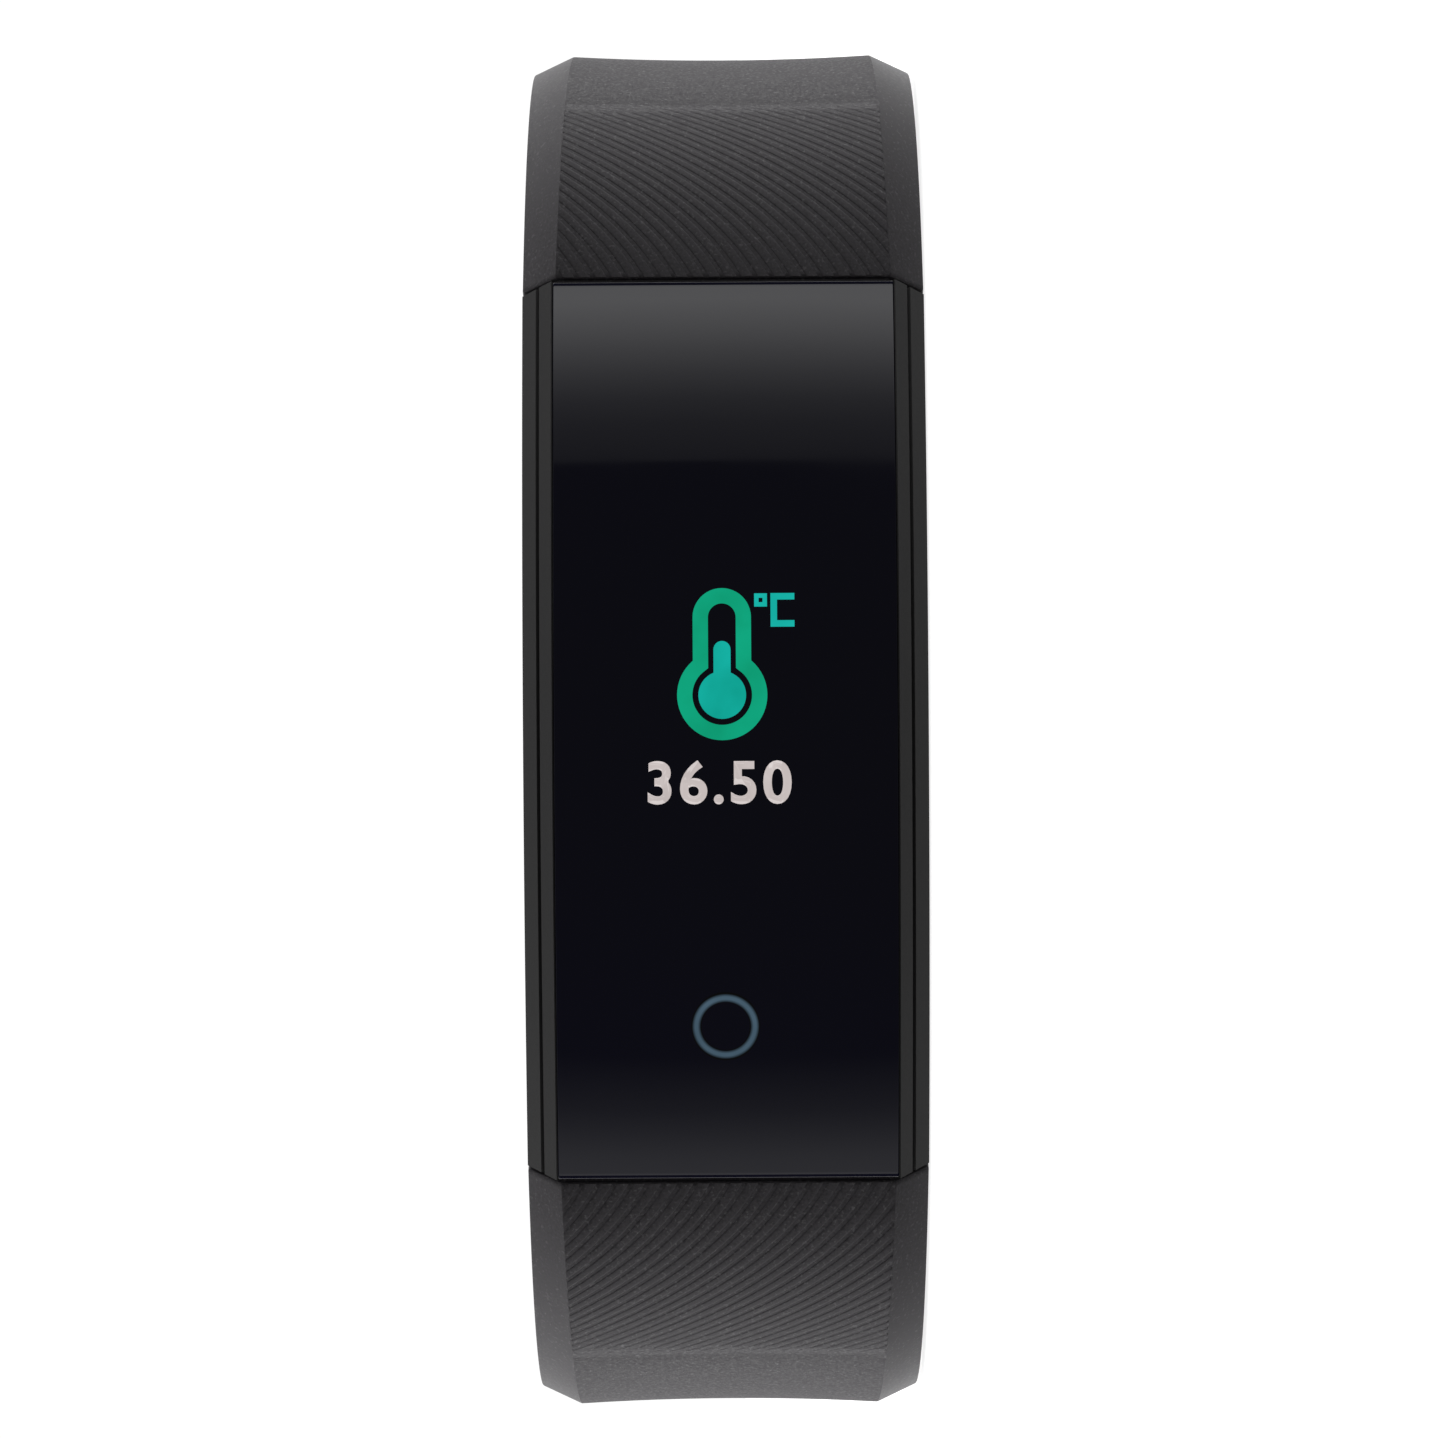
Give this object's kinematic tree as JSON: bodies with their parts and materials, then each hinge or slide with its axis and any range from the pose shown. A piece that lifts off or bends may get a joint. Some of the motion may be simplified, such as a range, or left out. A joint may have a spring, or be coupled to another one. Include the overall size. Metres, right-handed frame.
{
  "type": "fitness tracker band",
  "caption": "Slim wrist fitness tracker with a curved dark display, ridged rubber strap ends that pull off the case, a tail with holes and a pin buckle.",
  "frame": {"origin": "middle of the lower side wall of the case, which the band lies on", "axes": "+Z across the band, along the wrist it goes round; +Y from the display towards the wrist; +X towards the top of the display, where the buckle half leaves"},
  "size_m": [0.0702, 0.0759, 0.02],
  "materials": {
    "strap": "matte, finely granular, ridged on the thick ends",
    "lens": "polished, hard coated, near black",
    "frame_plastic": "satin moulded",
    "case_plastic": "satin moulded",
    "buckle": "dark coated, fine brushed",
    "steel": "polished",
    "can": "pressed sheet",
    "cell": "laminated pouch",
    "display": "glossy",
    "backlight": "diffusing",
    "flex": "thin film",
    "board": "solder mask",
    "plug_board": "black solder mask",
    "gold": "plated",
    "chip": "moulded",
    "ceramic": "fired",
    "led": "clear",
    "photodiode": "clear",
    "window": "polished, dark tinted",
    "adhesive": "tacky film",
    "seal": "soft",
    "lead_red": "smooth insulation",
    "lead_black": "smooth insulation"
  },
  "bodies": {
    "module": {"cover_lens": "lens", "lens_adhesive": "adhesive", "front_frame": "frame_plastic", "case_gasket": "seal", "rear_case": "case_plastic", "display_panel": "display", "display_backlight": "backlight", "display_flex": "flex", "touch_electrode": "flex", "main_pcb": "board", "mcu_chip": "chip", "flash_chip": "chip", "charger_chip": "chip", "accelerometer": "chip", "crystal": "can", "chip_antenna": "ceramic", "passive_components": "ceramic", "pcb_screws": "steel", "battery_cell": "cell", "battery_protection_board": "board", "battery_lead_red": "lead_red", "battery_lead_black": "lead_black", "battery_foam": "seal", "motor_can": "can", "motor_base": "board", "motor_shaft": "steel", "hr_leds": "led", "hr_photodiode": "photodiode", "hr_light_barrier": "seal", "sensor_window": "window", "window_adhesive": "adhesive", "temp_contact": "steel", "thermistor": "ceramic", "usb_plug_board": "plug_board", "usb_contacts": "gold"},
    "motor_rotor": {"motor_rotor": "steel"},
    "buckle_strap": {"buckle_strap_cap": "strap"},
    "buckle_strap_end": {"buckle_strap_band": "strap", "fixed_keeper": "strap", "spring_bar_tube": "steel", "spring_bar_spring": "steel"},
    "bar_tip_upper": {"spring_bar_tip_upper": "steel"},
    "bar_tip_lower": {"spring_bar_tip_lower": "steel"},
    "buckle_frame": {"buckle_frame": "buckle"},
    "buckle_tongue": {"buckle_tongue": "buckle"},
    "sliding_keeper": {"sliding_keeper": "strap"},
    "tail_strap": {"tail_strap_cap": "strap"},
    "tail_strap_end": {"tail_strap_band": "strap"}
  },
  "joints": [
    {"name": "motor_spin", "type": "hinge", "parent": "module", "child": "motor_rotor", "pos_m": [0.0122, 0, 0.01], "axis": [0, 1, 0], "continuous": true},
    {"name": "buckle_strap_pull", "type": "slide", "parent": "module", "child": "buckle_strap", "axis": [0.9511, 0.309, 0], "range_m": [0, 0.014]},
    {"name": "tail_strap_pull", "type": "slide", "parent": "module", "child": "tail_strap", "axis": [-0.9511, 0.309, 0], "range_m": [0, 0.014]},
    {"name": "buckle_strap_flex", "type": "hinge", "parent": "buckle_strap", "child": "buckle_strap_end", "pos_m": [0.03399, 0.01962, 0.01], "axis": [0, 0, -1], "range_deg": [-12, 20], "stiffness_Nm_per_rad": 0.006},
    {"name": "tail_strap_flex", "type": "hinge", "parent": "tail_strap", "child": "tail_strap_end", "pos_m": [-0.03399, 0.01962, 0.01], "axis": [0, 0, 1], "range_deg": [-4, 45], "stiffness_Nm_per_rad": 0.004},
    {"name": "buckle_frame_swing", "type": "hinge", "parent": "buckle_strap_end", "child": "buckle_frame", "pos_m": [0.009, 0.03847, 0.01], "axis": [0, 0, 1], "range_deg": [-35, 90]},
    {"name": "buckle_tongue_swing", "type": "hinge", "parent": "buckle_frame", "child": "buckle_tongue", "pos_m": [0.009, 0.03847, 0.01], "axis": [0, 0, -1], "range_deg": [0, 85]},
    {"name": "sliding_keeper_travel", "type": "hinge", "parent": "buckle_strap_end", "child": "sliding_keeper", "pos_m": [0.01514, 0.01962, 0.01], "axis": [0, 0, 1], "range_deg": [-11, 14]},
    {"name": "bar_tip_upper_press", "type": "slide", "parent": "buckle_strap_end", "child": "bar_tip_upper", "axis": [0, 0, -1], "range_m": [0, 0.0012], "stiffness_N_per_m": 400, "springref_m": -0.001, "deforming": ["spring_bar_spring"]},
    {"name": "bar_tip_lower_press", "type": "slide", "parent": "buckle_strap_end", "child": "bar_tip_lower", "axis": [0, 0, 1], "range_m": [0, 0.0012], "stiffness_N_per_m": 400, "springref_m": -0.001}
  ]
}
